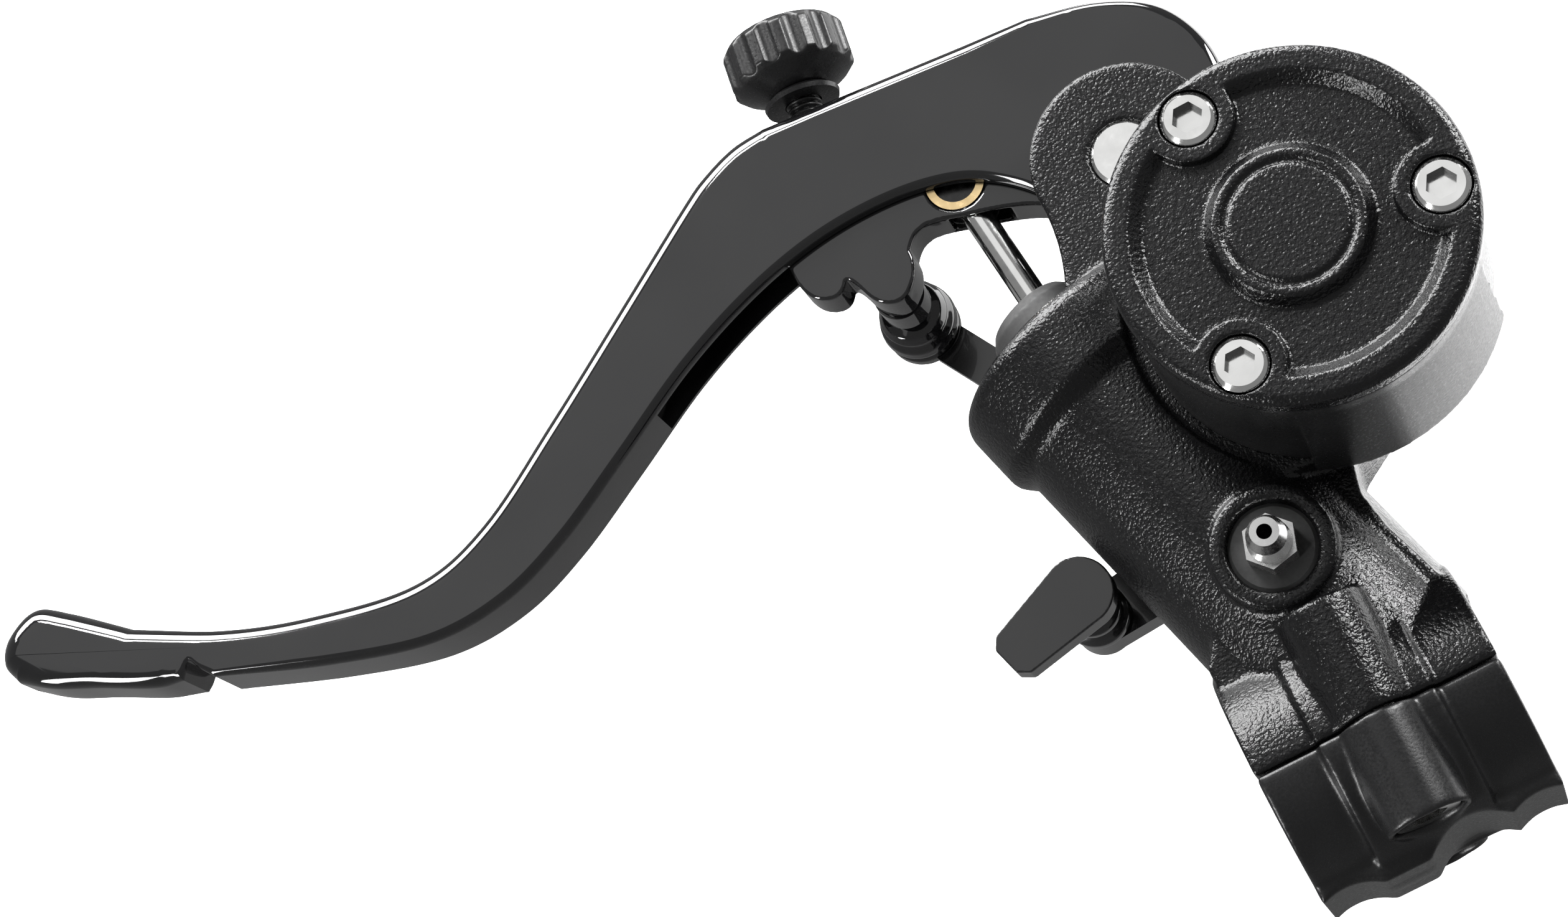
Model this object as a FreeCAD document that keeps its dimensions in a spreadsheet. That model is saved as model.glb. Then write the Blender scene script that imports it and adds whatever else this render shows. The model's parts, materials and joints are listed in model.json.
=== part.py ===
import FreeCAD, Part
import math
import os

from FreeCAD import Placement, Rotation, Vector

# Radial master cylinder with a clamp, a round reservoir and a hand lever, in millimetres.
# The origin is the middle of the handlebar clamp's bore: +X runs along the bar, +Y from the
# bar towards the lever, +Z up to the reservoir's lid. The barrel lies in the XY plane.

DRIVING_SIZES = {
    "bar_radius": 12.7,
    "clamp_half_width": 18.5,
    "wing_radius": 18.2,
    "block_radius": 19.6,
    "block_half_width": 9.0,
    "bolt_height": 16.6,
    "bolt_boss_radius": 6.4,
    "clamp_bolt_radius": 3.1,
    "clamp_head_radius": 4.8,
    "barrel_turn": 16.0,
    "barrel_offset": 5.3,
    "barrel_radius": 17.2,
    "barrel_end": 77.0,
    "flange_radius": 19.2,
    "bore_radius": 7.9,
    "bleeder_x": -1.8,
    "bleeder_y": 27.9,
    "bleeder_boss_radius": 9.0,
    "bleeder_boss_top": 18.6,
    "outlet_radius": 4.5,
    "reservoir_x": 20.5,
    "reservoir_y": 60.0,
    "reservoir_radius": 25.4,
    "reservoir_foot_radius": 27.3,
    "reservoir_bottom": 15.0,
    "seam_height": 40.2,
    "gasket_thickness": 0.8,
    "cover_radius": 25.8,
    "cover_top": 44.6,
    "cover_floor": 42.7,
    "cover_screw_circle": 20.8,
    "cover_screw_head": 3.95,
    "cover_screw_shank": 2.0,
    "pivot_x": 5.7,
    "pivot_y": 92.8,
    "pin_radius": 4.0,
    "pin_head_radius": 5.1,
    "running_gap": 0.05,
    "ear_radius": 14.4,
    "ear_top": 12.4,
    "lever_half": 6.0,
    "outer_edge_round": 1.8,
    "inner_edge_round": 1.4,
    "fork_half": 6.6,
    "arm_half": 3.6,
    "slot_half": 3.9,
    "trunnion_x": -18.8,
    "trunnion_y": 105.3,
    "trunnion_radius": 4.6,
    "rod_radius": 2.3,
    "ball_place": 72.5,
    "stud_x": -34.5,
    "stud_y": 96.0,
    "ball_depth": 18.0,
    "knob_x": -34.7,
    "knob_y": 127.1,
    "knob_turn": 83.5,
    "knob_radius": 9.9,
    "screw_radius": 2.9,
    "post_x": -30.3,
    "post_y": 41.2,
    "paddle_top": -4.0,
    "flute_count": 14,
}

doc = FreeCAD.newDocument("MasterCylinder")
sheet = doc.addObject("Spreadsheet::Sheet", "Sizes")
for row, (alias, value) in enumerate(DRIVING_SIZES.items(), start=1):
    sheet.set("A%d" % row, alias.replace("_", " "))
    sheet.set("B%d" % row, str(value))
    sheet.setAlias("B%d" % row, alias)
doc.recompute()

UP = Vector(0, 0, 1)
DOWN = Vector(0, 0, -1)
ALONG_BAR = Vector(1, 0, 0)
FORWARD = Vector(0, 1, 0)
BACKWARD = Vector(0, -1, 0)


def size(alias):
    """Value of one cell of the sheet."""
    return float(sheet.get(alias))


TURN = math.radians(size("barrel_turn"))
BARREL_AXIS = Vector(-math.sin(TURN), math.cos(TURN), 0)
ACROSS_BARREL = Vector(math.cos(TURN), math.sin(TURN), 0)
PIVOT = Vector(size("pivot_x"), size("pivot_y"), 0)
RESERVOIR = Vector(size("reservoir_x"), size("reservoir_y"), 0)
BLEEDER = Vector(size("bleeder_x"), size("bleeder_y"), 0)
TRUNNION = Vector(size("trunnion_x"), size("trunnion_y"), 0)
STUD = Vector(size("stud_x"), size("stud_y"), 0)
KNOB_SEAT = Vector(size("knob_x"), size("knob_y"), 0)
KNOB_TURN = math.radians(size("knob_turn"))
KNOB_AXIS = Vector(math.cos(KNOB_TURN), math.sin(KNOB_TURN), 0)
POST = Vector(size("post_x"), size("post_y"), 0)


def on_barrel(place, across=0.0, height=0.0):
    """Point at a distance along the barrel's axis, offset sideways and up."""
    sideways = size("barrel_offset") + across
    return BARREL_AXIS * place + ACROSS_BARREL * sideways + UP * height


# ---------------------------------------------------------------- shape helpers

def place(thing, base, axis=UP, spin=0.0):
    turn = Rotation(UP, axis).multiply(Rotation(UP, spin))
    thing.Placement = Placement(base, turn)


def cylinder(name, radius, height, base, axis=UP):
    """Round bar whose radius and height are expressions on the sheet."""
    thing = doc.addObject("Part::Cylinder", name)
    thing.setExpression("Radius", radius)
    thing.setExpression("Height", height)
    place(thing, base, axis)
    return thing


def box(name, length, width, height, base):
    """Upright box from its lowest corner."""
    thing = doc.addObject("Part::Box", name)
    thing.setExpression("Length", length)
    thing.setExpression("Width", width)
    thing.setExpression("Height", height)
    thing.Placement = Placement(base, Rotation())
    return thing


def prism(name, sides, circumradius, height, base, axis=UP, spin=0.0):
    thing = doc.addObject("Part::Prism", name)
    thing.Polygon = sides
    thing.setExpression("Circumradius", circumradius)
    thing.setExpression("Height", height)
    place(thing, base, axis, spin)
    return thing


def fuse(name, pieces):
    thing = doc.addObject("Part::MultiFuse", name)
    thing.Shapes = pieces
    thing.Refine = True
    return thing


def cut(name, base, tools):
    """Base less every tool."""
    tool = tools[0]
    if len(tools) > 1:
        tool = doc.addObject("Part::MultiFuse", name + "_tools")
        tool.Shapes = tools
    thing = doc.addObject("Part::Cut", name)
    thing.Base = base
    thing.Tool = tool
    return thing


def common(name, first, second):
    thing = doc.addObject("Part::Common", name)
    thing.Base = first
    thing.Tool = second
    return thing


def compound(name, pieces):
    """Group of separate solids that share a node."""
    thing = doc.addObject("Part::Compound", name)
    thing.Links = pieces
    return thing


def origin_feature(body, role):
    for feature in body.Origin.OriginFeatures:
        if feature.Role == role:
            return feature
    raise ValueError(role)


def sketch_on(body, name, role, offset=0.0):
    sketch = body.newObject("Sketcher::SketchObject", name)
    sketch.AttachmentSupport = [(origin_feature(body, role), "")]
    sketch.MapMode = "FlatFace"
    sketch.AttachmentOffset = Placement(Vector(0, 0, offset), Rotation())
    return sketch


def lines(points):
    """Closed run of straight edges."""
    following = points[1:] + points[:1]
    return [Part.LineSegment(a, b) for a, b in zip(points, following)]


def flat(pairs):
    return [Vector(x, y, 0) for x, y in pairs]


def curve(pairs):
    """Smooth edge through the points."""
    spline = Part.BSplineCurve()
    spline.interpolate(flat(pairs))
    return spline


def padded(name, edges, bottom, height):
    """Upright body padded from an outline in plan."""
    body = doc.addObject("PartDesign::Body", name)
    sketch = sketch_on(body, name + "_outline", "XY_Plane", bottom)
    sketch.addGeometry(edges, False)
    pad = body.newObject("PartDesign::Pad", name + "_pad")
    pad.Profile = sketch
    pad.setExpression("Length", height)
    return body


def turned(name, profile, base=Vector(), axis=UP):
    """Body revolved from a closed profile of (radius, height) points."""
    body = doc.addObject("PartDesign::Body", name)
    sketch = sketch_on(body, name + "_profile", "XZ_Plane")
    sketch.addGeometry(lines(flat(profile)), False)
    turn = body.newObject("PartDesign::Revolution", name + "_turn")
    turn.Profile = sketch
    turn.ReferenceAxis = (sketch, ["V_Axis"])
    turn.Angle = 360
    place(body, base, axis)
    return body


def edge_near(shape, spot):
    """Name of the edge that passes closest to a point."""
    target = Part.Vertex(spot)
    distances = [edge.distToShape(target)[0] for edge in shape.Edges]
    return "Edge%d" % (distances.index(min(distances)) + 1)


def around(count, radius, middle, start=0.0):
    """Points spaced evenly on a circle in plan."""
    for index in range(count):
        angle = math.radians(start + index * 360.0 / count)
        yield middle + Vector(math.cos(angle), math.sin(angle), 0) * radius


# ---------------------------------------------------------------- clamp

WIDTH = size("clamp_half_width")
BLOCK = size("block_half_width")
BOLT_Z = size("bolt_height")


def clamp_ring(name, bottom_y):
    """Half of the clamp's ring: two wings and a taller block, on one side of Y = 0."""
    wings = cylinder(name + "_wings", "Sizes.wing_radius", "2 * Sizes.clamp_half_width",
                     Vector(-WIDTH, 0, 0), ALONG_BAR)
    block = cylinder(name + "_block", "Sizes.block_radius", "2 * Sizes.block_half_width",
                     Vector(-BLOCK, 0, 0), ALONG_BAR)
    ring = fuse(name + "_ring", [wings, block])
    side = box(name + "_side", "2 * Sizes.clamp_half_width + 2", "40", "60",
               Vector(-WIDTH - 1, bottom_y, -30))
    return common(name + "_half", ring, side)


def bar_bore(name):
    return cylinder(name, "Sizes.bar_radius", "2 * Sizes.clamp_half_width + 4",
                    Vector(-WIDTH - 2, 0, 0), ALONG_BAR)


def clamp_cap():
    """Front half of the clamp, with two counterbored bolt bosses."""
    half = clamp_ring("cap", -40)
    lip = box("cap_lip", "2 * Sizes.clamp_half_width", "6", "18", Vector(-WIDTH, -19.4, -9))
    bosses = [cylinder("cap_boss_%d" % i, "Sizes.bolt_boss_radius", "16.2",
                       Vector(0, 0, z), BACKWARD) for i, z in enumerate((BOLT_Z, -BOLT_Z))]
    solid = fuse("cap_solid", [half, lip] + bosses)
    tools = [bar_bore("cap_bore")]
    for index, z in enumerate((BOLT_Z, -BOLT_Z)):
        tools.append(cylinder("cap_hole_%d" % index, "Sizes.clamp_bolt_radius + 0.15", "20",
                              Vector(0, 1, z), BACKWARD))
        tools.append(cylinder("cap_counterbore_%d" % index, "Sizes.clamp_head_radius + 0.6", "12",
                              Vector(0, -9.4, z), BACKWARD))
    # Scallops across the ends of the wings, and a round pocket in the end face.
    for index, x in enumerate((-WIDTH, WIDTH)):
        tools.append(cylinder("cap_scallop_%d" % index, "9", "50",
                              Vector(x * 0.8, -26.6, -25), UP))
    tools.append(cylinder("cap_pocket", "9.5", "22", Vector(4.5, -26.0, -9), UP))
    # A narrow gap at the parting face.
    tools.append(box("cap_gap", "60", "0.3", "60", Vector(-30, -0.25, -30)))
    return cut("clamp_cap", solid, tools)


def clamp_bolts():
    """Two socket-head bolts that pull the cap on to the bar."""
    bolts = []
    for index, z in enumerate((BOLT_Z, -BOLT_Z)):
        shank = cylinder("clamp_shank_%d" % index, "Sizes.clamp_bolt_radius", "20.5",
                         Vector(0, -9.4, z), FORWARD)
        head = cylinder("clamp_head_%d" % index, "Sizes.clamp_head_radius", "6.0",
                        Vector(0, -9.4, z), BACKWARD)
        body = fuse("clamp_bolt_%d" % index, [shank, head])
        socket = prism("clamp_socket_%d" % index, 6, "2.9", "3.4", Vector(0, -12.4, z), BACKWARD)
        bolts.append(cut("clamp_bolt_cut_%d" % index, body, [socket]))
    return compound("clamp_bolts", bolts)


# ---------------------------------------------------------------- casting

def cylinder_body():
    """Barrel, clamp half, reservoir platform and lever ears in one casting."""
    end = size("barrel_end")
    wide = size("flange_radius")
    slim = size("barrel_radius")
    barrel = turned("barrel", [(0, 5), (slim, 5), (slim, end - 14.0), (wide, end - 11.5),
                               (wide, end - 2.2), (wide - 0.7, end - 0.8), (wide - 2.2, end),
                               (0, end)], on_barrel(0), BARREL_AXIS)
    boss = cylinder("bleeder_boss", "Sizes.bleeder_boss_radius", "Sizes.bleeder_boss_top + 2",
                    BLEEDER - UP * 2)
    outlet = cylinder("outlet_boss", "Sizes.outlet_radius + 3.5", "22",
                      on_barrel(24, 0, -22))
    half = clamp_ring("body", 0)
    bolt_bosses = [cylinder("body_boss_%d" % i, "Sizes.bolt_boss_radius", "17.5",
                            Vector(0, 0, z), FORWARD) for i, z in enumerate((BOLT_Z, -BOLT_Z))]
    shoulder = padded("shoulder", lines(flat([(-16, 4), (17.6, 4), (17.6, 13), (16.2, 18), (13.8, 25),
                                              (12.8, 31), (14.5, 38), (0, 44), (-18, 18)])), -11, "22")
    # Ridges that run from the clamp's wings up over the casting, each side of the bolt.
    ridges = []
    for index, x in enumerate((-11.5, 11.5)):
        ridge = doc.addObject("Part::Cone", "ridge_%d" % index)
        ridge.Radius1 = 4.2
        ridge.Radius2 = 1.0
        ridge.Height = 26
        ridge.Placement = Placement(Vector(x, 0, 12.6), Rotation(UP, FORWARD + DOWN * 0.22))
        ridges.append(ridge)
    platform = cylinder("platform", "20", "19", RESERVOIR + UP * (size("reservoir_bottom") - 19))
    neck = padded("neck", lines(flat([(-3, 38), (14, 36), (24, 42), (36, 60), (26, 78), (-6, 74)])),
                  -9, "Sizes.reservoir_bottom + 9")
    ear = size("ear_radius")
    neck_left = PIVOT + Vector(-ear, 0, 0)
    neck_right = PIVOT + Vector(ear, 0, 0)
    ear_edges = [Part.Arc(neck_right, PIVOT + Vector(0, ear, 0), neck_left),
                 Part.Arc(neck_left, Vector(-9.2, 85.0, 0), Vector(-13.0, 75.0, 0)),
                 Part.LineSegment(Vector(-13.0, 75.0, 0), Vector(0, 52, 0)),
                 Part.LineSegment(Vector(0, 52, 0), Vector(30, 62, 0)),
                 Part.LineSegment(Vector(30, 62, 0), neck_right)]
    ears = padded("ears", ear_edges, -size("ear_top"), "2 * Sizes.ear_top")
    solid = fuse("body_solid", [barrel, boss, outlet, half, shoulder, platform, neck, ears]
                 + bolt_bosses + ridges)

    # The lever's gap between the ears, open to the front and both sides.
    gap = padded("fork_gap", lines(flat([(-60, 79.5), (-9.5, 79.5), (3, 77.5), (14, 79), (60, 96),
                                         (60, 140), (-60, 140)])), -size("fork_half"),
                 "2 * Sizes.fork_half")
    bore = turned("bore", [(0, 15.5), (4, 15.5), (size("bore_radius"), 17.0),
                           (size("bore_radius"), end - 3),
                           (9.0, end - 3), (9.0, end - 1.9), (8.6, end - 1.9), (8.6, end + 1),
                           (0, end + 1)], on_barrel(0), BARREL_AXIS)
    # The wall between the ears is relieved for the boot and the rod.
    relief = cylinder("front_relief", "Sizes.bore_radius + 3.2", "22", on_barrel(end), BARREL_AXIS)
    tools = [bar_bore("body_bore"), gap, bore, relief]
    tools.append(cylinder("pin_upper", "Sizes.pin_head_radius", "12", PIVOT + UP * 4))
    tools.append(cylinder("pin_lower", "Sizes.pin_radius", "12", PIVOT - UP * 16))
    for index, z in enumerate((BOLT_Z, -BOLT_Z)):
        tools.append(cylinder("body_thread_%d" % index, "Sizes.clamp_bolt_radius", "13",
                              Vector(0, -1, z), FORWARD))
    tools.append(cylinder("bleeder_seat", "6.6", "4", BLEEDER + UP * (size("bleeder_boss_top") - 2)))
    tools.append(cylinder("bleeder_thread", "2.8", "20", BLEEDER + UP * 4))
    tools.append(cylinder("outlet_thread", "Sizes.outlet_radius", "14", on_barrel(24, 0, -24)))
    tools.append(cylinder("outlet_drilling", "1.5", "12", on_barrel(24, 0, -15)))
    # The feed drilling from the reservoir's floor slants down into the bore.
    feed_top = on_barrel(52, 15.0, size("reservoir_bottom") + 1)
    feed_end = on_barrel(52, 3.0, 2.0)
    feed = cylinder("feed_drilling", "1.4", "20", feed_top, feed_end - feed_top)
    tools.append(feed)
    tools.append(cylinder("spigot_seat", "5.0", "4", on_barrel(52, 15.0, size("reservoir_bottom") - 3)))
    for index, spot in enumerate(reservoir_screw_spots()):
        tools.append(cylinder("body_fixing_%d" % index, "1.6", "9", spot + UP * 7.5))
    for index, spot in enumerate(switch_screw_spots()):
        tools.append(cylinder("body_switch_hole_%d" % index, "1.25", "8", spot + DOWN * 18.2))
    tools.append(cylinder("cup_clearance", "Sizes.reservoir_foot_radius + 0.2", "30",
                          RESERVOIR + UP * size("reservoir_bottom")))
    # The switch housing seats on a flat along the barrel's underside.
    seat = padded("switch_seat", lines([on_barrel(s, a) for s, a in
                                        ((36, -12), (64, -12), (64, 12), (36, 12))]), -30, "14.4")
    tools.append(seat)
    return cut("cylinder_body", solid, tools)


# ---------------------------------------------------------------- reservoir

def reservoir_screw_spots():
    return [RESERVOIR + Vector(-4, 13, 0), RESERVOIR + Vector(8, -10, 0)]


def cover_screw_spots():
    return list(around(3, size("cover_screw_circle"), RESERVOIR, 105))


def reservoir_foot():
    """Flared sector of the lower wall; its two ends are the cup's pointed corners."""
    first, last = -116.0, -38.0
    foot = doc.addObject("Part::Cone", "cup_foot")
    foot.setExpression("Radius1", "Sizes.reservoir_foot_radius")
    foot.setExpression("Radius2", "Sizes.reservoir_radius")
    foot.setExpression("Height", "Sizes.seam_height - Sizes.reservoir_bottom - 3")
    foot.Angle = last - first
    foot.Placement = Placement(RESERVOIR + UP * size("reservoir_bottom"), Rotation(UP, first))
    return foot


def reservoir_body():
    """Round fluid cup with a flared sector that makes two corners on its lower wall."""
    low = size("reservoir_bottom")
    outer = cylinder("cup_outer", "Sizes.reservoir_radius", "Sizes.seam_height - Sizes.reservoir_bottom",
                     RESERVOIR + UP * low)
    spigot = cylinder("cup_spigot", "4.2", "4", on_barrel(52, 15.0, low - 2.4))
    solid = fuse("cup_solid", [outer, reservoir_foot(), spigot])
    pocket = cylinder("cup_pocket", "Sizes.reservoir_radius - 2.6", "40", RESERVOIR + UP * (low + 3))
    bosses = fuse("cup_bosses", [cylinder("cup_boss_%d" % i, "4.0", "50", spot)
                                 for i, spot in enumerate(cover_screw_spots())])
    hollow = cut("cup_hollow", pocket, [bosses])
    tools = [hollow, cylinder("cup_outlet", "2.2", "12", on_barrel(52, 15.0, low - 3))]
    for index, spot in enumerate(cover_screw_spots()):
        tools.append(cylinder("cup_thread_%d" % index, "Sizes.cover_screw_shank", "14",
                              spot + UP * (size("seam_height") - 10)))
    for index, spot in enumerate(reservoir_screw_spots()):
        tools.append(cylinder("cup_fixing_%d" % index, "1.7", "12", spot + UP * (low - 1)))
    return cut("reservoir_body", solid, tools)


def spigot_seal():
    """O-ring between the cup's spigot and the casting."""
    ring = doc.addObject("Part::Torus", "spigot_seal")
    ring.Radius1 = 4.6
    ring.Radius2 = 0.38
    ring.Placement = Placement(on_barrel(52, 15.0, size("reservoir_bottom") - 1.2), Rotation())
    return ring


def reservoir_screws():
    """Two screws in the cup's floor that hold it to the casting."""
    screws = []
    for index, spot in enumerate(reservoir_screw_spots()):
        floor = spot + UP * (size("reservoir_bottom") + 3)
        shank = cylinder("fixing_shank_%d" % index, "1.6", "9.5", floor, DOWN)
        head = cylinder("fixing_head_%d" % index, "3.0", "2.2", floor)
        socket = prism("fixing_socket_%d" % index, 6, "1.5", "3", floor + UP * 1.0)
        screws.append(cut("fixing_%d" % index, fuse("fixing_solid_%d" % index, [shank, head]), [socket]))
    return compound("reservoir_screws", screws)


def reservoir_diaphragm():
    """Rubber gasket with a folded cup that hangs in the fluid."""
    seam = size("seam_height")
    thick = size("gasket_thickness")
    edge = size("reservoir_radius") - 0.1
    body = turned("diaphragm_solid", [(edge, seam), (edge, seam + thick), (0, seam + thick), (0, seam - 6),
                                      (9, seam - 6), (9, seam - 3), (12, seam - 3), (12, seam - 8),
                                      (15.2, seam - 8), (15.2, seam)], RESERVOIR)
    inside = turned("diaphragm_inside", [(0, seam + 2), (0, seam - 5.2), (8.2, seam - 5.2),
                                         (8.2, seam - 2.2), (12.8, seam - 2.2), (12.8, seam - 7.2),
                                         (14.4, seam - 7.2), (14.4, seam + 2)], RESERVOIR)
    holes = [cylinder("gasket_hole_%d" % i, "Sizes.cover_screw_shank + 0.1", "6", spot + UP * (seam - 2))
             for i, spot in enumerate(cover_screw_spots())]
    return cut("reservoir_diaphragm", body, [inside] + holes)


def reservoir_cover():
    """Lid with a raised rim, a raised middle and three counterbored screw seats."""
    low = size("seam_height") + size("gasket_thickness")
    top = size("cover_top")
    edge = size("cover_radius")
    solid = turned("cover_solid", [(0, low), (edge, low), (edge, top - 1.2), (edge - 0.4, top - 0.4),
                                   (edge - 1.3, top), (0, top)], RESERVOIR)
    depth = size("cover_floor")
    groove = turned("cover_groove", [(11.8, depth), (20.2, depth), (22.0, top), (22.2, top + 1),
                                     (10.2, top + 1), (10.4, top)], RESERVOIR)
    pads = fuse("cover_pads", [cylinder("cover_pad_%d" % i, "6.4", "10", spot + UP * (low - 1))
                               for i, spot in enumerate(cover_screw_spots())])
    recess = cut("cover_recess", groove, [pads])
    ring = turned("cover_ring", [(8.3, top - 0.45), (9.3, top - 0.45), (9.3, top + 1), (8.3, top + 1)],
                  RESERVOIR)
    tools = [recess, ring]
    for index, spot in enumerate(cover_screw_spots()):
        tools.append(cylinder("cover_hole_%d" % index, "Sizes.cover_screw_shank + 0.15", "10",
                              spot + UP * (low - 2)))
        tools.append(cylinder("cover_seat_%d" % index, "Sizes.cover_screw_head + 0.25", "6",
                              spot + UP * (low + 1.1)))
    return cut("reservoir_cover", solid, tools)


def cover_screws():
    """Three bright socket-head screws."""
    screws = []
    head_top = size("cover_top") + 0.3
    seat = size("seam_height") + size("gasket_thickness") + 1.1
    head = size("cover_screw_head")
    shank = size("cover_screw_shank")
    for index, spot in enumerate(cover_screw_spots()):
        body = turned("cover_screw_%d" % index, [(0, seat - 9), (shank, seat - 9), (shank, seat),
                                                 (head, seat), (head, head_top - 0.7),
                                                 (head - 0.7, head_top), (0, head_top)], spot)
        socket = prism("cover_socket_%d" % index, 6, "2.3", "3", spot + UP * (head_top - 1.9))
        screws.append(cut("cover_screw_cut_%d" % index, body, [socket]))
    return compound("cover_screws", screws)


# ---------------------------------------------------------------- bleeder

def bleeder_washer():
    seat = BLEEDER + UP * (size("bleeder_boss_top") - 2)
    ring = turned("bleeder_disc", [(2.95, 0), (6.5, 0), (6.5, 0.5), (5.9, 0.8), (2.95, 0.8)], seat)
    ring.Label = "bleeder_washer"
    return ring


def bleeder_screw():
    """Hexagon nipple with a waisted, drilled tip."""
    low = size("bleeder_boss_top") - 1.2
    stem = turned("bleeder_stem", [(0, low - 9), (1.6, low - 9), (2.8, low - 7), (2.8, low), (3.2, low),
                                   (3.2, low + 4.2), (2.3, low + 5.2), (2.0, low + 6.4), (2.9, low + 7.4),
                                   (2.1, low + 9.6), (0, low + 9.6)], BLEEDER)
    hexagon = prism("bleeder_hexagon", 6, "4.1", "3.8", BLEEDER + UP * low, UP, 12)
    bore = cylinder("bleeder_bore", "1.1", "14", BLEEDER + UP * (low - 2))
    return cut("bleeder_screw", fuse("bleeder_solid", [stem, hexagon]), [bore])


# ---------------------------------------------------------------- pivot

def pivot_pin():
    top = size("ear_top")
    half = size("fork_half")
    pin = size("pin_radius")
    head = size("pin_head_radius")
    body = turned("pivot_pin", [(0, -top - 2.6), (pin - 0.4, -top - 2.6), (pin, -top - 2.2),
                                (pin, -top - 1.5), (pin - 0.8, -top - 1.5), (pin - 0.8, -top - 0.5),
                                (pin, -top - 0.5), (pin, half), (head, half), (head, top - 0.2),
                                (head - 0.5, top + 0.3), (0, top + 0.3)], PIVOT)
    return body


def open_ring(name, inner, outer, thickness, base, axis, gap):
    """Spring clip: a flat ring with a slot through one side."""
    ring = turned(name + "_ring", [(inner, 0), (outer, 0), (outer, thickness), (inner, thickness)],
                  base, axis)
    slot = doc.addObject("Part::Box", name + "_slot")
    slot.Length = outer * 2
    slot.Width = gap
    slot.Height = thickness + 2
    turn = Rotation(UP, axis)
    slot.Placement = Placement(base + turn.multVec(Vector(0, -gap / 2, -1)), turn)
    return cut(name, ring, [slot])


# ---------------------------------------------------------------- hydraulics

def piston():
    outer = size("bore_radius") - 0.06
    return turned("piston", [(0, 31), (5.0, 31), (5.0, 34), (outer, 34), (outer, 37), (5.5, 37), (5.5, 41),
                             (outer, 41), (outer, 44), (4.5, 44), (4.5, 58), (outer, 58), (outer, 60),
                             (5.5, 60), (5.5, 64), (outer, 64), (outer, 73.6), (3.9, 73.6), (3.9, 70.5),
                             (0, 67.2)], on_barrel(0), BARREL_AXIS)


def cup_seal(name, start):
    outer = size("bore_radius") - 0.03
    return turned(name, [(5.55, start + 0.3), (7.0, start + 0.3), (outer, start + 1.2),
                         (outer, start + 2.6), (6.9, start + 3.7), (5.55, start + 3.7)],
                  on_barrel(0), BARREL_AXIS)


def return_spring():
    """Coil spring between the bore's blind end and the piston's nose."""
    helix = Part.makeHelix(3.2, 12.8, 6.3)
    section = Part.Wire([Part.Circle(Vector(6.3, 0, 0), FORWARD, 0.6).toShape()])
    pipe = Part.Wire(helix.Edges).makePipeShell([section], True, True)
    spring = doc.addObject("Part::Feature", "return_spring")
    spring.Shape = pipe
    place(spring, on_barrel(17.6), BARREL_AXIS)
    return spring


def boot():
    """Rubber dust boot, its lip inside the barrel's mouth and its eye open for the rod's swing."""
    end = size("barrel_end")
    solid = turned("boot_solid", [(2.75, end + 6.6), (4.6, end + 7.4), (6.6, end + 6.8), (7.9, end + 5.2),
                                (8.3, end + 2.6), (8.3, end + 0.4), (8.55, end + 0.4),
                                (8.55, end - 1.8), (6.6, end - 1.8), (6.6, end + 3.4),
                                (5.2, end + 5.2), (2.75, end + 5.2)], on_barrel(0), BARREL_AXIS)
    eye = cylinder("boot_eye", "Sizes.rod_radius + 1.3", "12", on_barrel(end + 1, 1.0), BARREL_AXIS)
    return cut("boot", solid, [eye])


# ---------------------------------------------------------------- rod

ROD_END = on_barrel(size("ball_place"))
ROD_AXIS = (ROD_END - TRUNNION).normalize()


def pushrod():
    """Round rod from the trunnion to the ball in the piston."""
    length = (ROD_END - TRUNNION).Length
    rod = cylinder("rod_bar", "Sizes.rod_radius", str(length - 3.0), TRUNNION + ROD_AXIS * 3.0, ROD_AXIS)
    ball = doc.addObject("Part::Sphere", "rod_ball")
    ball.Radius = 3.0
    ball.Placement = Placement(ROD_END, Rotation())
    return fuse("pushrod", [rod, ball])


def trunnion():
    """Brass cross-pin in the arm, drilled for the rod."""
    pin = cylinder("trunnion_pin", "Sizes.trunnion_radius", "2 * Sizes.arm_half",
                   TRUNNION - UP * size("arm_half"))
    hole = cylinder("trunnion_hole", "Sizes.rod_radius", "12", TRUNNION + ROD_AXIS * 3.0, ROD_AXIS)
    recess = cylinder("trunnion_recess", "Sizes.trunnion_radius - 1.2", "3", TRUNNION + UP * 2.4)
    return cut("trunnion", pin, [hole, recess])


# ---------------------------------------------------------------- lever

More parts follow.
